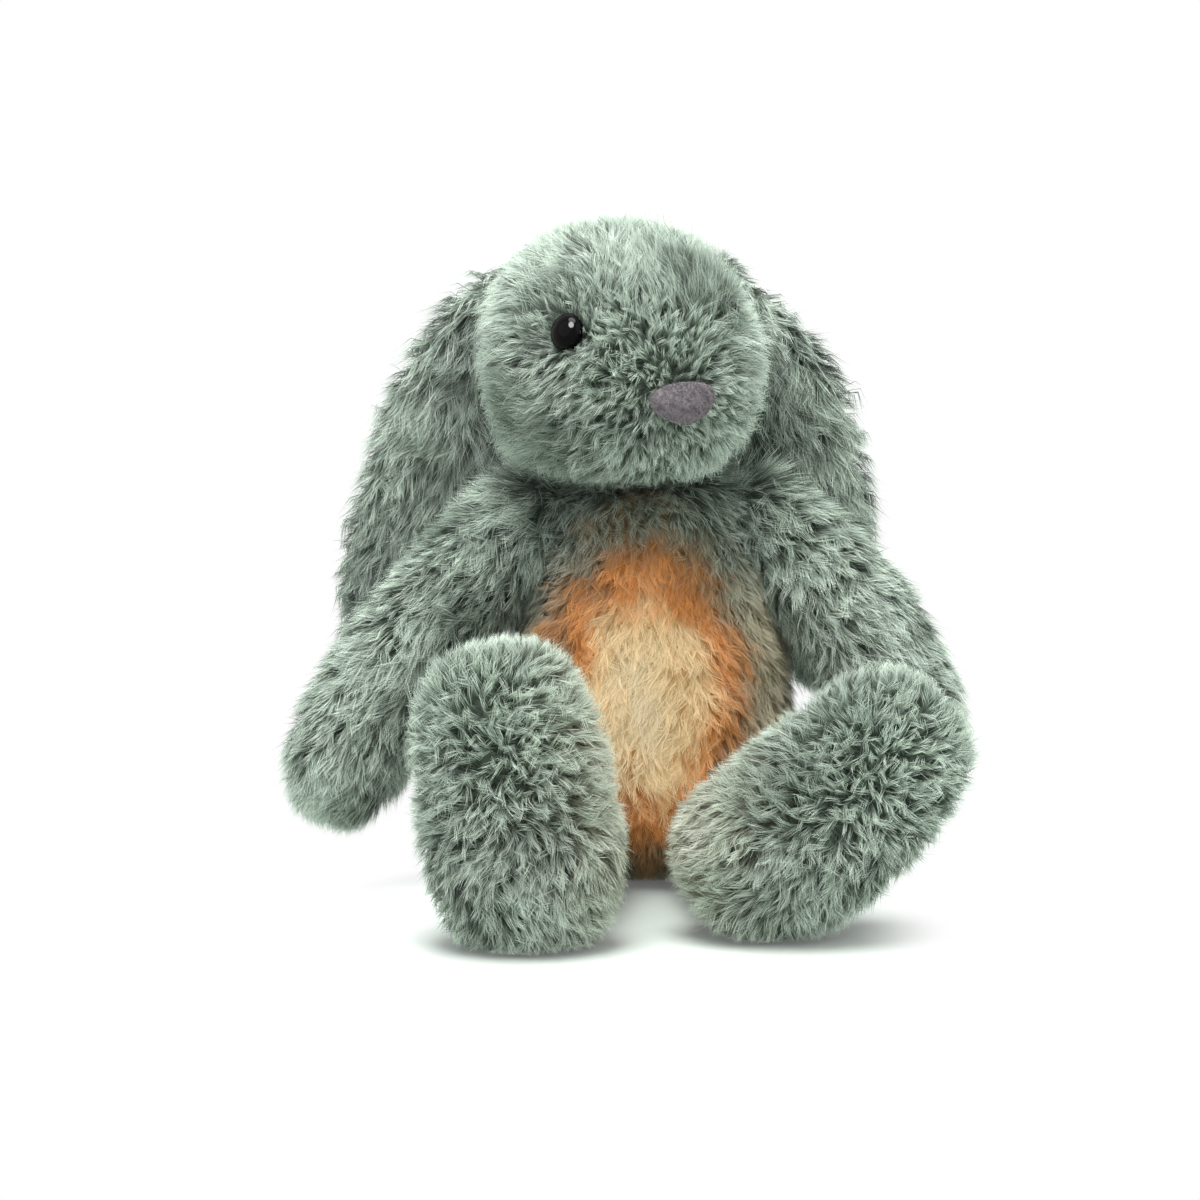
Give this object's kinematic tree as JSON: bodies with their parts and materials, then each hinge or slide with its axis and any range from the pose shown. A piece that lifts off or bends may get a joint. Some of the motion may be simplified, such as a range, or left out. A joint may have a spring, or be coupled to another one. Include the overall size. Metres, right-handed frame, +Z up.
{
  "type": "plush night light",
  "caption": "Seated plush rabbit with hanging ears and a battery light behind its belly, switched by pressing the belly.",
  "frame": {"origin": "a point on the flat seat under the torso", "axes": "+Z up, -Y is the front that the belly faces, +X is the rabbit's own left"},
  "size_m": [0.2368, 0.1673, 0.2302],
  "materials": {
    "sage_plush": "long pile plush",
    "nose_velour": "short velour",
    "pouch_lining": "woven lining",
    "loop_tape_grey": "looped tape",
    "hook_tape_grey": "hooked tape",
    "eye_black": "polished",
    "washer_white": "moulded",
    "module_white": "fine moulded",
    "reflector_white": "satin",
    "dome_frosted": "frosted, lit from behind",
    "board_green": "solder mask",
    "switch_black": "moulded",
    "plated_steel": "nickel plated",
    "led_amber": "clear amber lens",
    "cell_sleeve": "plain printed sleeve"
  },
  "bodies": {
    "torso": {"torso": "sage_plush", "tail": "sage_plush", "battery_cell_1": "cell_sleeve", "battery_cell_2": "cell_sleeve", "battery_cell_3": "cell_sleeve", "battery_door": "module_white", "circuit_board": "board_green", "contact_plate_1": "plated_steel", "contact_plate_2": "plated_steel", "contact_plate_3": "plated_steel", "contact_plate_4": "plated_steel", "contact_plate_5": "plated_steel", "contact_plate_6": "plated_steel", "contact_spring_1": "plated_steel", "contact_spring_2": "plated_steel", "contact_spring_3": "plated_steel", "door_screw": "plated_steel", "front_bezel": "module_white", "housing_screw_1": "plated_steel", "housing_screw_2": "plated_steel", "led_1": "led_amber", "led_2": "led_amber", "led_3": "led_amber", "led_4": "led_amber", "lining_pouch": "pouch_lining", "loop_tape": "loop_tape_grey", "rear_housing": "module_white", "reflector": "reflector_white", "tact_switch": "switch_black"},
    "head": {"head": "sage_plush", "nose_pad": "nose_velour", "eye_left": "eye_black", "eye_right": "eye_black", "eye_washer_left": "washer_white", "eye_washer_right": "washer_white"},
    "ear_left": {"ear_left": "sage_plush"},
    "ear_right": {"ear_right": "sage_plush"},
    "arm_left": {"arm_left": "sage_plush"},
    "arm_right": {"arm_right": "sage_plush"},
    "leg_left": {"leg_left": "sage_plush"},
    "leg_right": {"leg_right": "sage_plush"},
    "push_dome": {"push_dome": "dome_frosted", "switch_plunger": "plated_steel"},
    "pocket_flap": {"pocket_flap": "sage_plush", "hook_tape": "hook_tape_grey"}
  },
  "joints": [
    {"name": "head_nod", "type": "hinge", "parent": "torso", "child": "head", "pos_m": [-0.00202, -0.00201, 0.14698], "axis": [1, 0, 0], "range_deg": [0, 15], "stiffness_Nm_per_rad": 0.35, "springref_deg": -1.15},
    {"name": "ear_right_lift", "type": "hinge", "parent": "head", "child": "ear_right", "pos_m": [-0.03851, 0.00498, 0.21747], "axis": [0, 1, 0], "range_deg": [0, 100]},
    {"name": "ear_left_lift", "type": "hinge", "parent": "head", "child": "ear_left", "pos_m": [0.02508, 0.00498, 0.21275], "axis": [0, -1, 0], "range_deg": [0, 100]},
    {"name": "arm_right_lift", "type": "hinge", "parent": "torso", "child": "arm_right", "pos_m": [-0.03701, -0.007, 0.12996], "axis": [0, 1, 0], "range_deg": [0, 75]},
    {"name": "arm_left_lift", "type": "hinge", "parent": "torso", "child": "arm_left", "pos_m": [0.03898, -0.007, 0.12996], "axis": [0, -1, 0], "range_deg": [0, 75]},
    {"name": "leg_right_lift", "type": "hinge", "parent": "torso", "child": "leg_right", "pos_m": [-0.02502, -0.03001, 0.02356], "axis": [-1, 0, 0], "range_deg": [0, 25]},
    {"name": "leg_left_lift", "type": "hinge", "parent": "torso", "child": "leg_left", "pos_m": [0.027, -0.029, 0.02356], "axis": [-1, 0, 0], "range_deg": [0, 25]},
    {"name": "dome_press", "type": "slide", "parent": "torso", "child": "push_dome", "axis": [0, 1, 0], "range_m": [0, 0.001], "stiffness_N_per_m": 1500, "springref_m": -0.001},
    {"name": "flap_open", "type": "hinge", "parent": "torso", "child": "pocket_flap", "pos_m": [0.0015, 0.02423, 0.11153], "axis": [1, 0, 0], "range_deg": [0, 110]}
  ]
}
